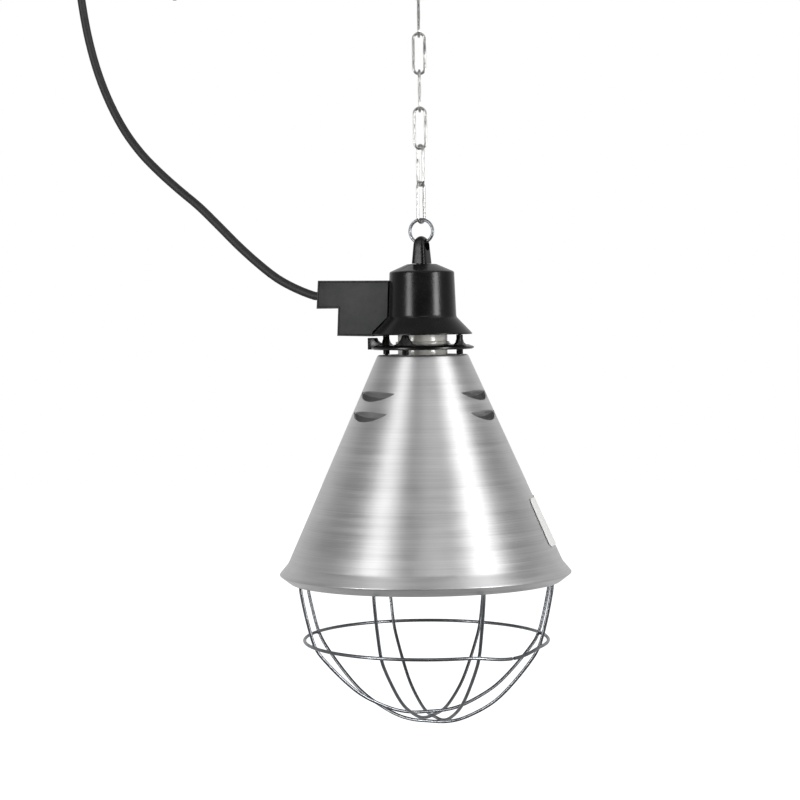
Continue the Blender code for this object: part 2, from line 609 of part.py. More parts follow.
def make_plug():
    """A moulded two-pin plug for the round recess of an unearthed mains outlet, pins down."""
    x, y = PLUG_CENTRE
    top = PLUG_FACE + 34
    front = arc((x, y), 18.2, -40, 40, 8) + arc((x, y), 18.2, 140, 220, 8)
    body = prism("plug_body", front, PLUG_FACE, PLUG_FACE + 18, "z", "black_rubber", bevel=1.0)
    grip = rod("plug_grip", (x, y, PLUG_FACE + 12), (x, y, top), 10.5, end_radius=6.2, sides=20)
    relief = rod("plug_relief", (x, y, top - 1), (x, y, top + 12.6), 5.6, end_radius=4.2, sides=16)
    add(body, grip, relief)
    for number, side in enumerate((-1, 1), 1):
        pin_x = x + side * 9.5
        cut(body, rod(f"pin_seat_{number}", (pin_x, y, PLUG_FACE - 2), (pin_x, y, PLUG_FACE + 8),
                      2.4 + GAP, sides=16))
        pin = rod(f"plug_pin_{number}", (pin_x, y, PLUG_FACE - 17.5), (pin_x, y, PLUG_FACE + 7.5), 2.4,
                  "bright_zinc", sides=16)
        add(pin, rod(f"pin_tip_{number}", (pin_x, y, PLUG_FACE - 19), (pin_x, y, PLUG_FACE - 17), 1.3,
                     end_radius=2.35, sides=16))


# ---------------------------------------------------------------- assembly

for old in list(bpy.data.objects):
    bpy.data.objects.remove(old)
parts = new_collection("heat_lamp_fixture")
cutters = new_collection("cutters")
materials = {name: new_material(name) for name in COLOURS}

make_hook()
head_pivot = make_chain()
make_hanger(head_pivot)
make_cap(head_pivot)
make_cable_box(head_pivot)
make_carrier(head_pivot)
make_lampholder(head_pivot)
make_reflector(head_pivot)
make_label(head_pivot)
make_guard(pivot("guard_slide", RING_HEIGHT, head_pivot))
make_cord()
make_plug()
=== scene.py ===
"""The looks of a hanging heat lamp fixture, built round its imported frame.

Outlines are in millimetres, with heights measured up from the reflector's lip, as in the part's own
source. at() turns them into the frame's metres. Every piece rides on the body of the node it stands for.
"""

import json
from math import copysign, cos, pi, radians, sin, tau

import bmesh
import bpy
from mathutils import Matrix, Vector
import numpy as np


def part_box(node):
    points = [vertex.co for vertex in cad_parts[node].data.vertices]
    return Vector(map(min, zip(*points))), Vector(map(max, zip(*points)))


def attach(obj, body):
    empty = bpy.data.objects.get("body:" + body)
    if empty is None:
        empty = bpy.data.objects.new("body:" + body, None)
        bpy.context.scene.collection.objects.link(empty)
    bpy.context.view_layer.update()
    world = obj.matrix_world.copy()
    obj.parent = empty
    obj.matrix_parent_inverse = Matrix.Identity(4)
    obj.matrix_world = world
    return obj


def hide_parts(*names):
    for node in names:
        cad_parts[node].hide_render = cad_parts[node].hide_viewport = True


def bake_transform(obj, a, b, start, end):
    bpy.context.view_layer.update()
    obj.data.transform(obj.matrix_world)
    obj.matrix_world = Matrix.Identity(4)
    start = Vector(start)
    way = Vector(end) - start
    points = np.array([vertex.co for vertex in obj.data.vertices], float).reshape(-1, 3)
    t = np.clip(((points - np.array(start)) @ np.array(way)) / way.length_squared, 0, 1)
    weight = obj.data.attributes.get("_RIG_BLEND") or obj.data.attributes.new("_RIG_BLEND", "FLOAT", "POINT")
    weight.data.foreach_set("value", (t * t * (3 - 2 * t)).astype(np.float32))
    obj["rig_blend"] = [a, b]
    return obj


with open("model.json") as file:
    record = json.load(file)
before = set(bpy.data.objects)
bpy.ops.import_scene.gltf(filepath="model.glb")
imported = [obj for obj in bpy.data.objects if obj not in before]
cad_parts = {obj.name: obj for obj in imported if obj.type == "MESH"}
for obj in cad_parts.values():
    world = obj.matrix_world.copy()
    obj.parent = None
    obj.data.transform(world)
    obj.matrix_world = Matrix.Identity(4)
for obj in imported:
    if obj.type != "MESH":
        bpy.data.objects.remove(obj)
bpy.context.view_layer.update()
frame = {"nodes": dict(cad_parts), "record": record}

MM = 0.001
SCENE = bpy.context.scene

# Reflector
NECK_RADIUS = 32.7
NECK_HEIGHT = 156.5
SHEET = 0.9
CREASE = (98.6, 7.6)  # radius and height where the cone meets the rolled lip
CONE_SLOPE = (CREASE[0] - NECK_RADIUS) / (NECK_HEIGHT - 0.9 - CREASE[1])
CONE_IN = SHEET * 0.913  # the sheet's thickness, measured level
VENT_HEADINGS = (0, 120, 240)
VENT_HEIGHTS = (130.0, 115.8)
VENT_HALF_WIDTH = 20.6
VENT_DROP = 6.0
VENT_ARCH = 1.4
FLAP_DEPTH = 7.4  # of a flap's free edge behind the cone
FLAP_REACH = 0.66  # of its hole's height

# Housing and carrier
POST_RADIUS = 29.0
POST_HEADINGS = (0, 90, 180, 270)
EYE_FOOT = 221.5
EYE_SHOULDER = 235.4
EYE_TOP = 241.2
EYE_HOLE = 234.8
CORD_HEIGHT = 198.8

# Guard
WIRE = 2.4
RING_HEIGHT = -48.6
RING_RADIUS = 87.7
RING_JOINT = -22  # heading of the ring's butt joint
RING_GAP = 1.4  # degrees between the ring's ends
JOINT_DROOP = 3.4  # of the ring's ends under the rest of it
JOINT_REACH = 24  # degrees either side of the joint that droop
RING_TILT = (0.015, 0.014)  # fall of the guard's middle for each millimetre along X and along -Y
HOOP_HEADINGS = (44, 90, 136, 184)
HOOP_OFFSETS = (-4.2, -5.0, -6.1, -1.7)  # of each hoop's plane from the lamp's axis
HOOP_DEPTHS = (-100.2, -102.9, -105.6, -108.3)
HOOP_OUTLINE = ((95.2, 4.0), (95.0, -6.5), (93.7, -15.0), (90.2, -31.0), (85.0, RING_HEIGHT),
                (77.3, -59.5), (61.0, -76.0), (47.0, -86.5), (28.0, -95.3), (14.0, -98.6), (0.0, -99.0))

# Chain and hook
LINK_WIRE = 2.0
LINK_LENGTH = 28.8
LINK_WIDTH = 8.0
LINK_HEADINGS = (80, 144, 25, 115, 25, 115, 25)
HANG_RING_WIRE = 2.2
HANG_RING_RADIUS = 8.4
HANG_RING_HEADING = 10
HOOK_WIRE = 3.0
HOOK_HEADING = 115
HOOK_LOWER_BEND = 8.0
HOOK_UPPER_BEND = 11.0
HOOK_LENGTH = 66.0

# Cord
CORD = 6.2
COIL_CENTRE = (-241.0, 506.0)
COIL_RADIUS = 40.3  # of the outer layer
COIL_STEP = 6.3  # between layers
COIL_LAYERS = 3
COIL_TURNS = 9.25
COIL_REACH = 10.1  # half the winding's width, at the cord's centre line
CORD_ROUTE = ((-66, 0, 198.8), (-80, 0, 198.8), (-87, 0, 199.7), (-102, 0, 205.1), (-118, 0, 213.1),
              (-134, 0, 224.5), (-150.5, 0, 238.1), (-167, 0, 253.2), (-183.5, 0, 267.9),
              (-200, 0, 280.5), (-217, 0, 294.3), (-233, 0, 309.2), (-247.5, 0, 326.8),
              (-259.5, -1, 347.8), (-268.6, -3, 371), (-275, -5, 395.5), (-279, -7, 420.5),
              (-281, -9, 445), (-281.3, -10, 466), (-281.3, -10.1, 482))
TAIL_ROUTE = ((-234.6, 17.4, 533.0), (-228, 18.9, 530.6), (-221, 20.9, 525.8), (-214.2, 23, 518.6),
              (-209.4, 25.2, 508.6), (-208, 26, 499), (-208, 26, 493))
PLUG_CENTRE = (-208.0, 26.0)
PLUG_FACE = 446.0

# Where the frame has it
LIP_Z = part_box("reflector")[1].z - NECK_HEIGHT * MM
BODY_OF = {node: body for body, nodes in frame["record"]["behaviour"]["bodies"].items() for node in nodes}
SLOT_OF = {row["node"]: row["material_slot"] for row in frame["record"]["subparts"]}


# ---------------------------------------------------------------- places and routes

def at(x, y, height):
    return Vector((x * MM, y * MM, LIP_Z + height * MM))


def around(degrees, radius, height):
    """A point at a heading from the lamp's axis."""
    return at(radius * cos(radians(degrees)), radius * sin(radians(degrees)), height)


def arc(centre, radius, start, end, steps):
    """Points of a flat arc, from one angle in degrees to another."""
    angles = [radians(start + (end - start) * i / steps) for i in range(steps + 1)]
    return [(centre[0] + radius * cos(a), centre[1] + radius * sin(a)) for a in angles]


def smooth_route(points, spacing):
    """Points about evenly spaced on a smooth curve through the given ones."""
    points = [Vector(p) for p in points]
    ends = [2 * points[0] - points[1], *points, 2 * points[-1] - points[-2]]
    found = [points[0]]
    for before, start, end, after in zip(ends, ends[1:], ends[2:], ends[3:]):
        count = max(1, round((end - start).length / spacing))
        for step in range(1, count + 1):
            t = step / count
            found.append(0.5 * (2 * start + (end - before) * t
                                + (2 * before - 5 * start + 4 * end - after) * t ** 2
                                + (3 * start - before - 3 * end + after) * t ** 3))
    return found


def rounded(outline, steps=4):
    """An outline of (radius, height) or (radius, height, rounding): each rounded corner becomes a curve."""
    found = []
    for i, (r, z, *rounding) in enumerate(outline):
        corner = Vector((r, z))
        if not rounding:
            found.append(corner)
            continue
        before = Vector(outline[i - 1][:2]) - corner
        after = Vector(outline[(i + 1) % len(outline)][:2]) - corner
        start = corner + before.normalized() * min(rounding[0], before.length / 2)
        end = corner + after.normalized() * min(rounding[0], after.length / 2)
        for step in range(steps + 1):
            t = step / steps
            found.append(start * (1 - t) ** 2 + corner * 2 * t * (1 - t) + end * t ** 2)
    return [tuple(point) for point in found]


def ease(t):
    t = min(max(t, 0.0), 1.0)
    return t * t * (3 - 2 * t)


def cone_radius(height):
    return CREASE[0] - (height - CREASE[1]) * CONE_SLOPE


# ---------------------------------------------------------------- making pieces

def stands_for(piece, *nodes):
    """The piece rides where the nodes ride, takes their finish and hides them."""
    piece.data.materials.clear()
    piece.data.materials.append(MATERIALS[SLOT_OF[nodes[0]]])
    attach(piece, BODY_OF[nodes[0]])
    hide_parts(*nodes)
    return piece


def goes_with(piece, node):
    """A detail of a node that something else stands for."""
    piece.data.materials.clear()
    piece.data.materials.append(MATERIALS[SLOT_OF[node]])
    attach(piece, BODY_OF[node])
    return piece


def mesh_object(name, shape, smooth=35):
    mesh = bpy.data.meshes.new(name)
    bmesh.ops.recalc_face_normals(shape, faces=shape.faces)
    shape.to_mesh(mesh)
    shape.free()
    mesh.shade_smooth()
    mesh.set_sharp_from_angle(angle=radians(smooth))
    obj = bpy.data.objects.new(name, mesh)
    SCENE.collection.objects.link(obj)
    return obj


def turned(name, outline, steps=144, centre=(0.0, 0.0)):
    """A closed outline of (radius, height) turned about an upright axis."""
    shape = bmesh.new()
    rings = []
    for i in range(steps):
        turn = tau * i / steps
        rings.append([shape.verts.new(at(centre[0] + r * cos(turn), centre[1] + r * sin(turn), z))
                      for r, z in outline])
    for i, ring in enumerate(rings):
        following = rings[(i + 1) % steps]
        for j in range(len(outline)):
            k = (j + 1) % len(outline)
            shape.faces.new((ring[j], following[j], following[k], ring[k]))
    bmesh.ops.remove_doubles(shape, verts=shape.verts, dist=1e-6)
    return mesh_object(name, shape)


def rod(name, start, end, radius, sides=32):
    """A cylinder between two points of the frame, its radius in millimetres."""
    along = end - start
    shape = bmesh.new()
    bmesh.ops.create_cone(shape, cap_ends=True, segments=sides, radius1=radius * MM, radius2=radius * MM,
                          depth=along.length)
    turn = along.to_track_quat("Z", "Y").to_matrix().to_4x4()
    turn.translation = (start + end) / 2
    shape.transform(turn)
    return mesh_object(name, shape)


def block(name, low, high):
    """A box between two corners in millimetres."""
    shape = bmesh.new()
    bmesh.ops.create_cube(shape, size=1)
    low, high = at(*low), at(*high)
    size = high - low
    for vertex in shape.verts:
        vertex.co = (low + high) / 2 + Vector(a * b for a, b in zip(vertex.co, size))
    return mesh_object(name, shape)


def combine(obj, other, operation):
    """Cuts one object from another, or joins it on, for good."""
    modifier = obj.modifiers.new("Combine", "BOOLEAN")
    modifier.operation = operation
    modifier.object = other
    modifier.solver = "EXACT"
    graph = bpy.context.evaluated_depsgraph_get()
    mesh = bpy.data.meshes.new_from_object(obj.evaluated_get(graph))
    obj.modifiers.clear()
    old, obj.data = obj.data, mesh
    bpy.data.meshes.remove(old)
    bpy.data.objects.remove(other)
    return obj


def cut(obj, *tools):
    for tool in tools:
        combine(obj, tool, "DIFFERENCE")


def add(obj, *tools):
    for tool in tools:
        combine(obj, tool, "UNION")


def soften(obj, width, segments):
    """Rounds an object's edges and shades it smooth."""
    shape = bmesh.new()
    shape.from_mesh(obj.data)
    bmesh.ops.remove_doubles(shape, verts=shape.verts, dist=2e-6)
    bmesh.ops.dissolve_limit(shape, angle_limit=radians(0.6), verts=shape.verts, edges=shape.edges)
    edges = [e for e in shape.edges if len(e.link_faces) == 2 and e.calc_face_angle() > radians(28)]
    if edges:
        bmesh.ops.bevel(shape, geom=edges, offset=width * MM, offset_type="OFFSET", segments=segments,
                        profile=0.5, affect="EDGES", clamp_overlap=True)
    shape.to_mesh(obj.data)
    shape.free()
    obj.data.shade_smooth()
    obj.data.set_sharp_from_angle(angle=radians(35))
    return obj


def refined(node, width=0.3, segments=2):
    """The node's own shape, with its flat faces whole again and its edges rounded."""
    mesh = frame["nodes"][node].data.copy()
    mesh.name = node + "_piece"
    for name in [a.name for a in mesh.attributes if a.name == "custom_normal"]:
        mesh.attributes.remove(mesh.attributes[name])
    obj = bpy.data.objects.new(node + "_piece", mesh)
    SCENE.collection.objects.link(obj)
    return soften(obj, width, segments)


def wire(name, points, thickness, cyclic=False, sides=5, swell=()):
    """A round wire along points of the frame. swell gives (share of its length, how much thicker)."""
    curve = bpy.data.curves.new(name, "CURVE")
    curve.dimensions = "3D"
    curve.bevel_depth = thickness / 2 * MM
    curve.bevel_resolution = sides
    curve.use_fill_caps = True
    spline = curve.splines.new("POLY")
    spline.points.add(len(points) - 1)
    for i, (target, point) in enumerate(zip(spline.points, points)):
        target.co = (*point, 1)
        for share, more in swell:
            away = abs(i / len(points) - share) * len(points)
            target.radius += more * max(0.0, 1 - (away / 2.2) ** 2)
    spline.use_cyclic_u = cyclic
    spline.use_smooth = True
    obj = bpy.data.objects.new(name, curve)
    SCENE.collection.objects.link(obj)
    return obj


# ---------------------------------------------------------------- materials

def new_material(name, colour, roughness, metallic=0.0, **sockets):
    """A Principled material, and its node tree and shader."""
    made = bpy.data.materials.new(name)
    made.use_nodes = True
    tree = made.node_tree
    shader = tree.nodes["Principled BSDF"]
    shader.inputs["Base Color"].default_value = (*colour, 1)
    shader.inputs["Roughness"].default_value = roughness
    shader.inputs["Metallic"].default_value = metallic
    for socket, value in sockets.items():
        shader.inputs[socket.replace("_", " ")].default_value = value
    made.diffuse_color = (*colour, 1)
    return made, tree, shader


def place_of(tree, stretch=(1, 1, 1)):
    """The object's own coordinates, stretched."""
    where = tree.nodes.new("ShaderNodeTexCoord")
    mapping = tree.nodes.new("ShaderNodeMapping")
    mapping.inputs["Scale"].default_value = stretch
    tree.links.new(where.outputs["Object"], mapping.inputs["Vector"])
    return mapping.outputs["Vector"]


def noise(tree, vector, scale, detail=3.0, roughness=0.55):
    node = tree.nodes.new("ShaderNodeTexNoise")
    node.inputs["Scale"].default_value = scale
    node.inputs["Detail"].default_value = detail
    node.inputs["Roughness"].default_value = roughness
    tree.links.new(vector, node.inputs["Vector"])
    return node.outputs["Fac"]


def ramp(tree, value, stops):
    """A colour ramp: stops are (place, colour)."""
    node = tree.nodes.new("ShaderNodeValToRGB")
    elements = node.color_ramp.elements
    while len(elements) < len(stops):
        elements.new(0.5)
    for element, (place, colour) in zip(elements, stops):
        element.position = place
        element.color = (*colour, 1)
    tree.links.new(value, node.inputs["Fac"])
    return node.outputs["Color"]


def spread(tree, value, low, high, start=0.3, end=0.7):
    """A number that goes from low to high as value goes from start to end."""
    node = tree.nodes.new("ShaderNodeMapRange")
    for name, number in (("From Min", start), ("From Max", end), ("To Min", low), ("To Max", high)):
        node.inputs[name].default_value = number
    tree.links.new(value, node.inputs["Value"])
    return node.outputs["Result"]


def mixed(tree, first, second, share=0.5):
    """Two numbers blended."""
    node = tree.nodes.new("ShaderNodeMix")
    node.inputs["Factor"].default_value = share
    tree.links.new(first, node.inputs["A"])
    tree.links.new(second, node.inputs["B"])
    return node.outputs["Result"]


def bump(tree, shader, height, strength, depth):
    node = tree.nodes.new("ShaderNodeBump")
    node.inputs["Strength"].default_value = strength
    node.inputs["Distance"].default_value = depth * MM
    tree.links.new(height, node.inputs["Height"])
    tree.links.new(node.outputs["Normal"], shader.inputs["Normal"])


def spun_aluminium():
    """Satin aluminium with the fine rings that the spinning tool leaves."""
    made, tree, shader = new_material("spun_aluminium", (0.8, 0.8, 0.8), 0.4, 1.0,
                                      Anisotropic=0.45, Anisotropic_Rotation=0.25)
    fine = noise(tree, place_of(tree, (6, 6, 2400)), 1.0, 4.0, 0.7)
    broad = noise(tree, place_of(tree, (9, 9, 210)), 1.0, 3.0)
    cloud = noise(tree, place_of(tree), 16.0, 3.0)
    rings = mixed(tree, fine, broad, 0.45)
    colour = ramp(tree, mixed(tree, rings, cloud, 0.3),
                  ((0.32, (0.5, 0.5, 0.505)), (0.5, (0.69, 0.69, 0.695)), (0.68, (0.84, 0.84, 0.85))))
    tree.links.new(colour, shader.inputs["Base Color"])
    tree.links.new(spread(tree, rings, 0.33, 0.5), shader.inputs["Roughness"])
    tangent = tree.nodes.new("ShaderNodeTangent")
    tangent.direction_type = "RADIAL"
    tangent.axis = "Z"
    tree.links.new(tangent.outputs["Tangent"], shader.inputs["Tangent"])
    bump(tree, shader, rings, 0.7, 0.05)
    return made


def moulded_plastic(name, dark, light, roughness, patch_scale, grain=0.05, specular=0.5):
    """Moulded plastic: faint flow patches, a fine mould grain and slightly uneven gloss."""
    made, tree, shader = new_material(name, light, roughness, Specular_IOR_Level=specular)
    patches = noise(tree, place_of(tree), patch_scale, 4.0, 0.6)
    tree.links.new(ramp(tree, patches, ((0.32, dark), (0.68, light))), shader.inputs["Base Color"])
    skin = noise(tree, place_of(tree), 2600.0, 2.0)
    tree.links.new(spread(tree, mixed(tree, patches, skin, 0.4), roughness - 0.05, roughness + 0.06),
                   shader.inputs["Roughness"])
    bump(tree, shader, mixed(tree, skin, patches, 0.3), 0.35, grain)
    return made


def plated_wire(name, dark, light, roughness, scale=420.0, grain=0.03):
    """Zinc on steel: small crystals and drawn streaks in tone and gloss."""
    made, tree, shader = new_material(name, light, roughness, 1.0)
    crystals = noise(tree, place_of(tree), scale, 5.0, 0.65)
    tree.links.new(ramp(tree, crystals, ((0.33, dark), (0.66, light))), shader.inputs["Base Color"])
    tree.links.new(spread(tree, crystals, roughness + 0.08, roughness - 0.06), shader.inputs["Roughness"])
    bump(tree, shader, noise(tree, place_of(tree), 1900.0, 3.0), 0.4, grain)
    return made


def glazed_porcelain():
    made, tree, shader = new_material("glazed_porcelain", (0.74, 0.72, 0.67), 0.16, Coat_Weight=0.35,
                                      Coat_Roughness=0.08)
    tone = noise(tree, place_of(tree), 130.0, 4.0)
    tree.links.new(ramp(tree, tone, ((0.3, (0.56, 0.55, 0.51)), (0.7, (0.68, 0.67, 0.62)))),
                   shader.inputs["Base Color"])
    tree.links.new(spread(tree, tone, 0.13, 0.24), shader.inputs["Roughness"])
    bump(tree, shader, noise(tree, place_of(tree), 420.0, 2.0), 0.2, 0.04)
    return made


def plain_brass():
    made, tree, shader = new_material("plain_brass", (0.74, 0.55, 0.25), 0.3, 1.0)
    tarnish = noise(tree, place_of(tree), 240.0, 4.0)
    tree.links.new(ramp(tree, tarnish, ((0.3, (0.5, 0.35, 0.15)), (0.65, (0.78, 0.59, 0.28)))),
                   shader.inputs["Base Color"])
    tree.links.new(spread(tree, tarnish, 0.42, 0.24), shader.inputs["Roughness"])
    bump(tree, shader, noise(tree, place_of(tree), 1500.0), 0.3, 0.02)
    return made


def cable_rubber():
    """Dull black rubber with a faint drawn surface and a little dust in it."""
    made, tree, shader = new_material("cable_rubber", (0.014, 0.014, 0.015), 0.42, Sheen_Weight=0.08,
                                      Sheen_Roughness=0.5)
    dust = noise(tree, place_of(tree), 170.0, 5.0, 0.65)
    tree.links.new(ramp(tree, dust, ((0.35, (0.009, 0.009, 0.01)), (0.72, (0.024, 0.024, 0.025)))),
                   shader.inputs["Base Color"])
    tree.links.new(spread(tree, dust, 0.5, 0.62), shader.inputs["Roughness"])
    bump(tree, shader, noise(tree, place_of(tree), 1400.0, 3.0), 0.2, 0.02)
    return made


def sticker_paper():
    made, tree, shader = new_material("sticker_paper", (0.86, 0.86, 0.85), 0.42)
    fibre = noise(tree, place_of(tree), 700.0, 4.0)
    tree.links.new(ramp(tree, fibre, ((0.3, (0.8, 0.8, 0.79)), (0.7, (0.9, 0.9, 0.89)))),
                   shader.inputs["Base Color"])
    tree.links.new(spread(tree, fibre, 0.36, 0.5), shader.inputs["Roughness"])
    bump(tree, shader, fibre, 0.25, 0.02)
    return made


def strap_webbing():
    """A plain weave: two sets of ridges that cross."""
    made, tree, shader = new_material("strap_webbing", (0.02, 0.02, 0.021), 0.8, Sheen_Weight=0.3,
                                      Sheen_Roughness=0.5)
    ridges = []
    for direction, scale in (("X", 260.0), ("Z", 330.0)):
        wave = tree.nodes.new("ShaderNodeTexWave")
        wave.bands_direction = direction
        wave.inputs["Scale"].default_value = scale
        wave.inputs["Distortion"].default_value = 0.4
        wave.inputs["Detail Scale"].default_value = 2.0
        tree.links.new(place_of(tree), wave.inputs["Vector"])
        ridges.append(wave.outputs["Fac"])
    weave = mixed(tree, *ridges)
    tree.links.new(ramp(tree, weave, ((0.25, (0.008, 0.008, 0.009)), (0.75, (0.035, 0.035, 0.037)))),
                   shader.inputs["Base Color"])
    tree.links.new(spread(tree, weave, 0.9, 0.7), shader.inputs["Roughness"])
    bump(tree, shader, weave, 0.7, 0.25)
    return made


MATERIALS = {
    "aluminium": spun_aluminium(),
    "black_plastic": moulded_plastic("black_plastic_shell", (0.002, 0.002, 0.002), (0.005, 0.005, 0.005),
                                     0.25, 55.0, 0.03, 0.38),
    "grey_black_plastic": moulded_plastic("grey_black_plastic_shell", (0.02, 0.022, 0.021),
                                          (0.048, 0.05, 0.048), 0.56, 62.0, 0.05, 0.35),
    "porcelain": glazed_porcelain(),
    "brass": plain_brass(),
    "zinc_wire": plated_wire("galvanised_wire", (0.2, 0.212, 0.228), (0.31, 0.325, 0.345), 0.3, 160.0),
    "bright_zinc": plated_wire("bright_zinc_plate", (0.42, 0.42, 0.41), (0.64, 0.64, 0.62), 0.2, 150.0),
    "black_rubber": cable_rubber(),
    "blue_insulation": moulded_plastic("blue_insulation_skin", (0.02, 0.09, 0.4), (0.03, 0.13, 0.52), 0.4, 90.0),
    "brown_insulation": moulded_plastic("brown_insulation_skin", (0.12, 0.045, 0.02), (0.18, 0.07, 0.03), 0.4,
                                        90.0),
    "white_label": sticker_paper(),
    "black_webbing": strap_webbing(),
}


# ---------------------------------------------------------------- camera and cords

def make_camera():
    """A long lens a little above the shade's neck, turned so that the cable box points left."""
    distance, lens, height = 1.64, 102.9, 188.6
    towards = Vector((sin(radians(25)), -cos(radians(25)), 0))
    right = Vector((cos(radians(25)), sin(radians(25)), 0))
    camera = bpy.data.objects.new("camera", bpy.data.cameras.new("camera"))
    SCENE.collection.objects.link(camera)
    camera.data.lens = lens
    camera.data.sensor_width = 36
    camera.data.clip_start, camera.data.clip_end = 0.05, 60
    camera.location = towards * distance + at(0, 0, height)
    aim = right * -0.0168 + at(0, 0, 124.0)
    level = (aim - camera.location).to_track_quat("-Z", "Y").to_matrix()
    camera.rotation_euler = (level @ Matrix.Rotation(radians(-0.75), 3, "Z")).to_euler()
    SCENE.camera = camera
    return towards, right


def coil_route():
    """Up from the run, round the winding layer by layer, and out over its side to the tail."""
    x, z = COIL_CENTRE
    dwell = 0.06  # share of a layer, at each end, in which the cord steps to the next layer
    found = [at(x - COIL_RADIUS, -COIL_REACH, height) for height in (482.2, 486, 490, 494, 498, 502)]
    steps = round(COIL_TURNS * 36)
    for i in range(steps + 1):
        layers = COIL_LAYERS * i / steps
        layer = min(int(layers), COIL_LAYERS - 1)
        share = layers - layer
        side = 1 if layer % 2 == 0 else -1
        y = side * COIL_REACH * (2 * min(max((share - dwell) / (1 - 2 * dwell), 0), 1) - 1)
        radius = COIL_RADIUS
        for border in range(1, COIL_LAYERS):
            radius -= COIL_STEP * ease((layers - border + dwell) / (2 * dwell))
        leaving = (i / steps - 1) * COIL_TURNS / 0.16 + 1
        y += 6.0 * ease(leaving)
        angle = radians(180 - 360 * COIL_TURNS * i / steps)
        found.append(at(x + radius * cos(angle), y, z + radius * sin(angle)))
    return found + [at(*p) for p in smooth_route(TAIL_ROUTE, 5)]


def make_run():
    """The cord from the box to the coil, as a mesh that bends between the lamp and what holds the coil."""
    path = [at(*p) for p in smooth_route(CORD_ROUTE, 6)]
    curve = wire("cord_run_route", path, CORD, sides=6)
    mesh = bpy.data.meshes.new_from_object(curve.evaluated_get(bpy.context.evaluated_depsgraph_get()))
    bpy.data.objects.remove(curve)
    shape = bmesh.new()
    shape.from_mesh(mesh)
    bmesh.ops.remove_doubles(shape, verts=shape.verts, dist=1e-6)
    run = mesh_object("cord_run_rubber", shape)
    run.data.materials.append(MATERIALS["black_rubber"])
    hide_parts("cord_run")
    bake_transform(run, "lamp", "ring", start=at(-90, 0, CORD_HEIGHT), end=path[-1])


def make_cords():
    make_run()
    coil = wire("cord_coil_rubber", coil_route(), CORD, sides=6)
    stands_for(coil, "cord_coil", "cord_tail")
    plug = make_plug()


def make_plug():
    """The moulded plug with its pins, and the ribs that let its relief bend."""
    x, y = PLUG_CENTRE
    body = stands_for(refined("plug_body", 0.5, 3), "plug_body")
    top = PLUG_FACE + 34
    pieces = [body]
    for number in range(4):
        height = top + 1.6 + 2.6 * number
        radius = 5.9 - 0.28 * number
        rib = turned(f"plug_rib_{number + 1}", rounded((
            (radius - 1.4, height - 0.7), (radius, height - 0.7, 0.5), (radius, height + 0.7, 0.5),
            (radius - 1.4, height + 0.7))), 40, (x, y))
        pieces.append(goes_with(rib, "plug_body"))
    for number in (1, 2):
        pieces.append(stands_for(refined(f"plug_pin_{number}", 0.3, 2), f"plug_pin_{number}"))
    return pieces


# ---------------------------------------------------------------- hook, chain and ring

def make_hook():
    low = LINK_FRAME_TOP + LINK_LENGTH - LINK_WIRE / 2 - HOOK_WIRE / 2 - 0.3
    top = low + HOOK_LENGTH
    lower = arc((0, low + HOOK_LOWER_BEND), HOOK_LOWER_BEND, 165, 390, 24)
    upper = arc((0, top - HOOK_UPPER_BEND), HOOK_UPPER_BEND, 195, -15, 24)
    outline = smooth_route([(r, 0, z) for r, z in lower + upper], 3)
    points = [around(HOOK_HEADING, p.x, p.z) for p in outline]
    stands_for(wire("s_hook_wire", points, HOOK_WIRE, sides=7), "s_hook")


def make_chain():
    """Each link is a bent wire with the small swelling of its butt weld half way up one side."""
    half = LINK_WIDTH / 2
    for number, degrees in enumerate(LINK_HEADINGS, 1):
        low_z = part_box(f"chain_link_{number}")[0].z
        height = (low_z - LIP_Z) / MM + LINK_WIRE / 2
        bottom = arc((0, height + half), half, 180, 360, 14)
        top = arc((0, height + LINK_LENGTH - half), half, 0, 180, 14)
        rise = [(half, height + half + (LINK_LENGTH - 2 * half) * i / 12) for i in range(1, 12)]
        fall = [(-r, z) for r, z in reversed(rise)]
        outline = bottom + rise + top + fall
        points = [around(degrees, r, z) for r, z in outline]
        weld = (len(bottom) + len(rise) / 2) / len(outline)
        link = wire(f"chain_link_{number}_wire", points, LINK_WIRE, cyclic=True, sides=6,
                    swell=[(weld, 0.16)])
        stands_for(link, f"chain_link_{number}")


def make_hang_ring():
    """A ring bent from wire, with the fine gap where its ends meet."""
    low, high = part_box("hang_ring")
    middle = ((low.z + high.z) / 2 - LIP_Z) / MM
    gap, start = 3, 128
    outline = arc((0, middle), HANG_RING_RADIUS, start + gap / 2, start + 360 - gap / 2, 72)
    points = [around(HANG_RING_HEADING, r, z) for r, z in outline]
    stands_for(wire("hang_ring_wire", points, HANG_RING_WIRE, sides=7), "hang_ring")


# ---------------------------------------------------------------- housing

def make_cap():
    cap = turned("housing_cap_shell", rounded((
        (4.4, 221.2), (10.5, 221.2, 0.8), (22.6, 215.9, 0.7), (23.2, 215.2, 0.5), (24.4, 183.4, 1.2),
        (35.6, 171.6, 0.5), (35.6, 170.8, 0.3), (33.6, 170.8, 0.3), (22.3, 182.2, 1.0), (21.0, 213.8, 0.6),
        (20.4, 214.4), (9.8, 219.0), (4.4, 219.0))))
    for side in (-1, 1):
        cut(cap, block(f"slot_{side}", (-4.1, min(side * 7.2, side * 11.6), 216.6),
                       (4.1, max(side * 7.2, side * 11.6), 222)))
    cut(cap, block("wire_window", (-27, -6, 187), (-19, 6, 202)))
    stands_for(cap, "housing_cap")
    for number, degrees in enumerate(POST_HEADINGS, 1):
        outline = rounded(((1.7, 171.2), (2.8, 171.2, 0.3), (2.8, 175.3), (1.7, 175.3)))
        foot = (POST_RADIUS * cos(radians(degrees)), POST_RADIUS * sin(radians(degrees)))
        goes_with(turned(f"housing_boss_{number}", outline, 28, foot), "housing_cap")


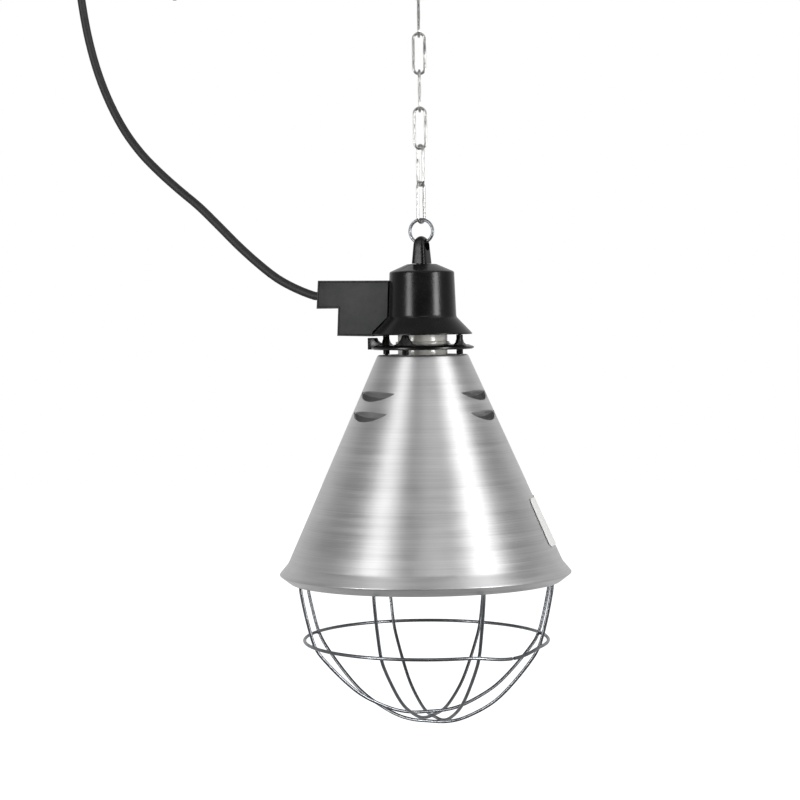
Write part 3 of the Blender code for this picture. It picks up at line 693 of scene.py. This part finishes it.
def eye_section(height):
    """One level of the hanger eye: a soft-cornered oblong that narrows upward and closes in a dome."""
    share = (height - EYE_FOOT) / (EYE_TOP - EYE_FOOT)
    dome = max(0.0, (height - EYE_SHOULDER) / (EYE_TOP - EYE_SHOULDER))
    close = (1 - 0.99 * dome ** 2) ** 0.5
    half_x, half_y = (5.7 - 1.7 * share) * close, (7.2 - 1.7 * share) * close
    section = []
    for i in range(72):
        across, along = cos(tau * (i + 0.5) / 72), sin(tau * (i + 0.5) / 72)
        section.append(at(copysign(half_x * abs(across) ** 0.45, across),
                          copysign(half_y * abs(along) ** 0.45, along), height))
    return section


def make_hanger():
    """The moulded eye, on its threaded stem, with the washer and nut that hold it."""
    rise = EYE_TOP - EYE_SHOULDER
    heights = [EYE_FOOT + (EYE_SHOULDER - EYE_FOOT) * i / 8 for i in range(8)]
    heights += [EYE_SHOULDER + rise * sin(pi / 2 * i / 10) for i in range(11)]
    shape = bmesh.new()
    rings = [[shape.verts.new(point) for point in eye_section(height)] for height in heights]
    for ring, following in zip(rings, rings[1:]):
        for i in range(len(ring)):
            j = (i + 1) % len(ring)
            shape.faces.new((ring[i], ring[j], following[j], following[i]))
    shape.faces.new(rings[0])
    shape.faces.new(rings[-1])
    eye = mesh_object("hanger_eye_moulding", shape)
    add(eye, rod("stem", at(0, 0, 207), at(0, 0, 223), 4.0))
    cut(eye, rod("eye_hole", at(-9, 0, EYE_HOLE), at(9, 0, EYE_HOLE), 4.1, 48))
    eye.data.shade_smooth()
    eye.data.set_sharp_from_angle(angle=radians(35))
    stands_for(eye, "hanger_eye")
    for node in ("hanger_washer", "hanger_nut"):
        stands_for(refined(node, 0.3, 2), node)


def make_box():
    for node, width in (("cable_box", 0.45), ("cable_box_cover", 0.35)):
        stands_for(refined(node, width, 3), node)
    stands_for(refined("cord_clamp", 0.3), "cord_clamp")
    for number, (x, z) in enumerate(((-55, 179), (-36, 204)), 1):
        screw = refined(f"box_screw_{number}", 0.25)
        cut(screw, block("slot_a", (x - 2.0, 13.0, z - 0.35), (x + 2.0, 15, z + 0.35)),
            block("slot_b", (x - 0.35, 13.0, z - 2.0), (x + 0.35, 15, z + 2.0)))
        stands_for(screw, f"box_screw_{number}")
        stands_for(refined(f"clamp_screw_{number}", 0.2), f"clamp_screw_{number}")


def make_carrier():
    stands_for(refined("carrier_ring", 0.25, 2), "carrier_ring")
    for number, degrees in enumerate(POST_HEADINGS, 1):
        x, y = POST_RADIUS * cos(radians(degrees)), POST_RADIUS * sin(radians(degrees))
        screw = refined(f"post_screw_{number}", 0.2)
        cut(screw, block("slot_a", (x - 1.7, y - 0.3, 152), (x + 1.7, y + 0.3, 153.8)),
            block("slot_b", (x - 0.3, y - 1.7, 152), (x + 0.3, y + 1.7, 153.8)))
        stands_for(screw, f"post_screw_{number}")


def make_lampholder():
    body = turned("lampholder_porcelain", rounded((
        (1.9, 188), (15.4, 188, 0.8), (17.8, 185, 1.0), (17.8, 165.9, 0.4), (19.4, 165.6, 0.6),
        (19.4, 163.7, 0.5), (17.8, 163.7, 0.2), (17.8, 136, 0.9), (16.9, 134.4, 0.8), (14.9, 134.4, 0.5),
        (14.9, 175.5, 0.6), (1.9, 175.5))), 96)
    for y in (10.0, -10.0):
        cut(body, rod("terminal_hole", at(0, y, 181), at(0, y, 190), 1.8, 24))
    stands_for(body, "lampholder")
    waves, steps = 4, 8
    thread = [(13.9 - 0.42 * cos(tau * i / steps), 168.5 - 30.5 * i / (waves * steps))
              for i in range(waves * steps + 1)]
    inner = [(r - 0.45, z) for r, z in reversed(thread)]
    outline = [(7.0, 171.5), (13.0, 171.5), *thread, *inner, (12.6, 171.0), (7.0, 171.0)]
    shell = turned("screw_shell_brass", outline, 96)
    stands_for(shell, "screw_shell")
    stands_for(refined("centre_contact", 0.2), "centre_contact")
    for name, y in (("live", 10.0), ("neutral", -10.0)):
        screw = refined(f"terminal_screw_{name}", 0.25)
        cut(screw, block("slot", (-3.4, y - 0.4, 189.5), (3.4, y + 0.4, 191)))
        stands_for(screw, f"terminal_screw_{name}")
        side = 1 if name == "live" else -1
        route = ((-65.4, side * 1.5, 198.8), (-58, side * 2.2, 198.6), (-46, side * 3.4, 197.2),
                 (-32, side * 3.8, 195), (-20, side * 4, 193.6), (-11, side * 6, 191.6), (-5, side * 9.4, 190.0))
        core = wire(f"wire_{name}_core", [at(*p) for p in smooth_route(route, 2)], 2.0, sides=4)
        stands_for(core, f"wire_{name}")


# ---------------------------------------------------------------- reflector

def vent_low(share, height):
    """Height of a vent's lower edge, with share from -1 to 1 across it."""
    return height - VENT_DROP * max(0.0, 1 - share ** 2) ** 0.75


def vent_high(share, height):
    return height + VENT_ARCH * (1 - share ** 2)


def vent_hole(degrees, height):
    """The half-moon that goes through the cone along the vent's heading."""
    steps = 41
    shares = [cos(pi * i / steps) for i in range(steps + 1)]
    outline = [(VENT_HALF_WIDTH * s, vent_low(s, height)) for s in shares]
    outline += [(VENT_HALF_WIDTH * s, vent_high(s, height)) for s in reversed(shares[1:-1])]
    shape = bmesh.new()
    face = shape.faces.new([shape.verts.new(at(30, y, z)) for y, z in outline])
    pushed = bmesh.ops.extrude_face_region(shape, geom=[face])["geom"]
    moved = [v for v in pushed if isinstance(v, bmesh.types.BMVert)]
    bmesh.ops.translate(shape, vec=(32 * MM, 0, 0), verts=moved)
    shape.transform(Matrix.Rotation(radians(degrees), 4, "Z"))
    return mesh_object("vent_hole", shape)


def vent_flap(name, degrees, height):
    """The tongue of sheet pressed in from its lower edge, thin as the shade."""
    across, down = 36, 8
    shape = bmesh.new()
    layers = []
    for inward in (0.0, SHEET):
        rows = []
        for j in range(down + 1):
            v = j / down
            row = []
            for i in range(across + 1):
                s = 0.97 * (2 * i / across - 1)
                high, low = vent_high(s, height), vent_low(s, height)
                size = (high - low) / (VENT_DROP + VENT_ARCH)
                z = high - (high - low) * FLAP_REACH * v
                y = VENT_HALF_WIDTH * s
                depth = FLAP_DEPTH * size * (0.85 * v + 0.15 * v ** 2) + inward
                x = (cone_radius(z) ** 2 - y ** 2) ** 0.5 - depth
                row.append(shape.verts.new(at(x, y, z)))
            rows.append(row)
        layers.append(rows)
    outer, inner = layers
    for rows in layers:
        for a, b in zip(rows, rows[1:]):
            for i in range(across):
                shape.faces.new((a[i], a[i + 1], b[i + 1], b[i]))
    for j in range(down):
        for i in (0, across):
            shape.faces.new((outer[j][i], outer[j + 1][i], inner[j + 1][i], inner[j][i]))
    for j in (0, down):
        for i in range(across):
            shape.faces.new((outer[j][i], outer[j][i + 1], inner[j][i + 1], inner[j][i]))
    shape.transform(Matrix.Rotation(radians(degrees), 4, "Z"))
    return goes_with(mesh_object(name, shape, 50), "reflector")


def make_reflector():
    rows = 40
    top = (NECK_RADIUS, NECK_HEIGHT - 0.9)
    outer = [(top[0] + (CREASE[0] - top[0]) * i / rows, top[1] + (CREASE[1] - top[1]) * i / rows)
             for i in range(1, rows)]
    inner_top = (NECK_RADIUS - CONE_IN - 0.2, NECK_HEIGHT - SHEET - 0.1)
    inner_low = (CREASE[0] - CONE_IN, CREASE[1] - 0.4)
    inner = [(inner_low[0] + (inner_top[0] - inner_low[0]) * i / rows,
              inner_low[1] + (inner_top[1] - inner_low[1]) * i / rows) for i in range(1, rows)]
    shade = turned("reflector_shade", rounded((
        (25.0, NECK_HEIGHT, 0.3), (NECK_RADIUS - 1.0, NECK_HEIGHT, 0.8), (*top, 0.6), *outer, (*CREASE, 1.6),
        (104.2, 0.9, 0.5), (105.0, -0.1, 0.5), (104.2, -0.9, 0.5), (97.4, -6.1, 0.4), (96.9, -5.3, 0.4),
        (103.7, 0.0, 0.3), (*inner_low, 1.2), *inner, (*inner_top, 0.5), (25.0, NECK_HEIGHT - SHEET - 0.1, 0.3))),
        216)
    for degrees in VENT_HEADINGS:
        for height in VENT_HEIGHTS:
            cut(shade, vent_hole(degrees, height))
    for degrees in POST_HEADINGS:
        low, high = around(degrees, POST_RADIUS, 150), around(degrees, POST_RADIUS, 160)
        cut(shade, rod("neck_hole", low, high, 1.7, 25))
    shade.data.shade_smooth()
    shade.data.set_sharp_from_angle(angle=radians(32))
    stands_for(shade, "reflector")
    vents = [(degrees, height) for degrees in VENT_HEADINGS for height in VENT_HEIGHTS]
    for number, (degrees, height) in enumerate(vents, 1):
        vent_flap(f"vent_flap_{number}", degrees, height)


def make_label():
    """A plain sticker with rounded corners that follows the cone."""
    low, high, middle, half_turn, across, up = 20.0, 54.0, 23.0, 17.0, 40, 20
    corner = 3.0
    shape = bmesh.new()
    layers = []
    for lift in (0.4, 0.72):
        rows = []
        for j in range(up + 1):
            z = low + (high - low) * j / up
            edge = min(z - low, high - z)
            trim = corner - (corner ** 2 - (corner - edge) ** 2) ** 0.5 if edge < corner else 0.0
            reach = half_turn - trim / cone_radius(z) * 180 / pi
            rows.append([shape.verts.new(around(middle - reach + 2 * reach * i / across, cone_radius(z) + lift, z))
                         for i in range(across + 1)])
        layers.append(rows)
    back, front = layers
    for rows in layers:
        for a, b in zip(rows, rows[1:]):
            for i in range(across):
                shape.faces.new((a[i], a[i + 1], b[i + 1], b[i]))
    for j in range(up):
        for i in (0, across):
            shape.faces.new((back[j][i], back[j + 1][i], front[j + 1][i], front[j][i]))
    for j in (0, up):
        for i in range(across):
            shape.faces.new((back[j][i], back[j][i + 1], front[j][i + 1], front[j][i]))
    stands_for(mesh_object("rating_label_paper", shape), "rating_label")


# ---------------------------------------------------------------- guard

def askew(degrees, radius, height, offset=0.0):
    """A point of the guard in the frame, let down or up as far as the guard's middle is tilted there."""
    turn = radians(degrees)
    x = radius * cos(turn) - offset * sin(turn)
    y = radius * sin(turn) + offset * cos(turn)
    share = min(max(height / RING_HEIGHT, 0.0), 1.0)
    return at(x, y, height - (RING_TILT[0] * x - RING_TILT[1] * y) * share)


def hoop_points(degrees, offset, depth):
    """One guard wire from rim to rim, in a plane beside the lamp's axis, down to the given depth."""
    stretch = (depth - RING_HEIGHT) / (HOOP_OUTLINE[-1][1] - RING_HEIGHT)
    half = []
    for radius, height in HOOP_OUTLINE:
        under = min(height - RING_HEIGHT, 0.0)
        half.append((radius, 0, height + under * (stretch - 1)))
    whole = half + [(-radius, 0, height) for radius, _, height in reversed(half[:-1])]
    rim = HOOP_OUTLINE[0][0]
    chord = (rim ** 2 - offset ** 2) ** 0.5 / rim
    return [askew(degrees, p.x * chord, p.z, offset) for p in smooth_route(whole, 3)]


def ring_points(steps):
    """The guard's ring from one side of its butt joint round to the other. Both its ends droop."""
    found = []
    for i in range(steps + 1):
        turn = RING_GAP / 2 + (360 - RING_GAP) * i / steps
        near = max(0.0, 1 - (min(turn, 360 - turn) / JOINT_REACH) ** 2)
        point = askew(RING_JOINT + turn, RING_RADIUS, RING_HEIGHT)
        found.append(point - Vector((0, 0, JOINT_DROOP * near ** 2 * MM)))
    return found


def weld_spot(name, where, width, height):
    """A small drop of weld between two wires."""
    shape = bmesh.new()
    bmesh.ops.create_icosphere(shape, subdivisions=2, radius=1)
    outward = Vector((where.x, where.y, 0)).normalized()
    turn = outward.to_track_quat("X", "Z").to_matrix().to_4x4()
    bmesh.ops.scale(shape, verts=shape.verts, vec=(width * MM, width * MM, height * MM))
    shape.transform(turn)
    bmesh.ops.translate(shape, verts=shape.verts, vec=where)
    return goes_with(mesh_object(name, shape, 60), "guard_ring")


def make_guard():
    hoops = zip(HOOP_HEADINGS, HOOP_OFFSETS, HOOP_DEPTHS)
    for number, (degrees, offset, depth) in enumerate(hoops, 1):
        hoop = wire(f"guard_hoop_{number}_wire", hoop_points(degrees, offset, depth), WIRE, sides=5)
        stands_for(hoop, f"guard_hoop_{number}")
        for end, side in (("near", 1), ("far", -1)):
            where = askew(degrees, side * (RING_RADIUS - WIRE / 2), RING_HEIGHT, offset)
            weld_spot(f"guard_weld_{number}_{end}", where, 1.1, 1.2)
    stands_for(wire("guard_ring_wire", ring_points(160), WIRE, sides=5), "guard_ring")


# ---------------------------------------------------------------- studio

def area_light(name, towards, right, side, elevation, distance, size, power):
    """A soft box that faces the lamp, at an angle to the right of the camera and above it."""
    aim = at(0, 0, 100)
    level = towards * cos(radians(side)) + right * sin(radians(side))
    light = bpy.data.lights.new(name, "AREA")
    light.shape = "RECTANGLE"
    light.size, light.size_y = size
    light.energy = power
    obj = bpy.data.objects.new(name, light)
    obj.location = aim + (level * cos(radians(elevation)) + Vector((0, 0, sin(radians(elevation))))) * distance
    obj.rotation_euler = (aim - obj.location).to_track_quat("-Z", "Y").to_euler()
    obj.visible_camera = False
    SCENE.collection.objects.link(obj)


def make_studio(towards, right):
    """A white floor well under the lamp, a surround that is darker in front of it, and five soft lights."""
    floor_shape = bmesh.new()
    bmesh.ops.create_circle(floor_shape, cap_ends=True, radius=14.0, segments=96)
    bmesh.ops.translate(floor_shape, verts=floor_shape.verts, vec=(0, 0, -1.5))
    floor = mesh_object("floor", floor_shape)
    made, tree, shader = new_material("floor_paint", (0.92, 0.92, 0.92), 0.9)
    shader.inputs["Emission Color"].default_value = (1, 1, 1, 1)
    shader.inputs["Emission Strength"].default_value = 0.9
    floor.data.materials.append(made)
    floor.visible_glossy = floor.visible_diffuse = False

    world = bpy.data.worlds.new("studio")
    world.use_nodes = True
    SCENE.world = world
    nodes, links = world.node_tree.nodes, world.node_tree.links
    surround = nodes["Background"]
    way = nodes.new("ShaderNodeTexCoord")
    facing = nodes.new("ShaderNodeVectorMath")
    facing.operation = "DOT_PRODUCT"
    facing.inputs[1].default_value = towards
    links.new(way.outputs["Generated"], facing.inputs[0])
    turned_to = spread(world.node_tree, facing.outputs["Value"], 0.0, 1.0, -1.0, 1.0)
    greys = ((0.0, 0.75), (0.2, 0.52), (0.38, 0.3), (0.62, 0.26), (0.97, 0.05))
    shades = ramp(world.node_tree, turned_to, [(place, (grey, grey, grey)) for place, grey in greys])
    links.new(shades, surround.inputs["Color"])
    seen = nodes.new("ShaderNodeBackground")
    seen.inputs["Color"].default_value = (1, 1, 1, 1)
    seen.inputs["Strength"].default_value = 1.0
    path = nodes.new("ShaderNodeLightPath")
    mix = nodes.new("ShaderNodeMixShader")
    links.new(path.outputs["Is Camera Ray"], mix.inputs["Fac"])
    links.new(surround.outputs["Background"], mix.inputs[1])
    links.new(seen.outputs["Background"], mix.inputs[2])
    links.new(mix.outputs["Shader"], nodes["World Output"].inputs["Surface"])

    area_light("soft_box_left", towards, right, -46, 41, 1.7, (0.6, 1.2), 3.4)
    area_light("soft_box_right", towards, right, 60, 41, 1.7, (0.8, 1.2), 4.6)
    area_light("front_fill", towards, right, 8, 32, 1.7, (0.8, 0.4), 2.1)
    area_light("low_strip_left", towards, right, -46, 2, 1.7, (0.5, 0.7), 13.0)
    area_light("low_strip_right", towards, right, 50, 2, 1.7, (0.5, 0.7), 17.0)
    SCENE.view_settings.view_transform = "Standard"


LINK_FRAME_TOP = (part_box("chain_link_7")[0].z - LIP_Z) / MM + LINK_WIRE / 2

towards_camera, camera_right = make_camera()
make_cords()
stands_for(refined("cord_strap", 0.25, 2), "cord_strap")
make_hook()
make_chain()
make_hang_ring()
make_cap()
make_hanger()
make_box()
make_carrier()
make_lampholder()
make_reflector()
make_label()
make_guard()
make_studio(towards_camera, camera_right)
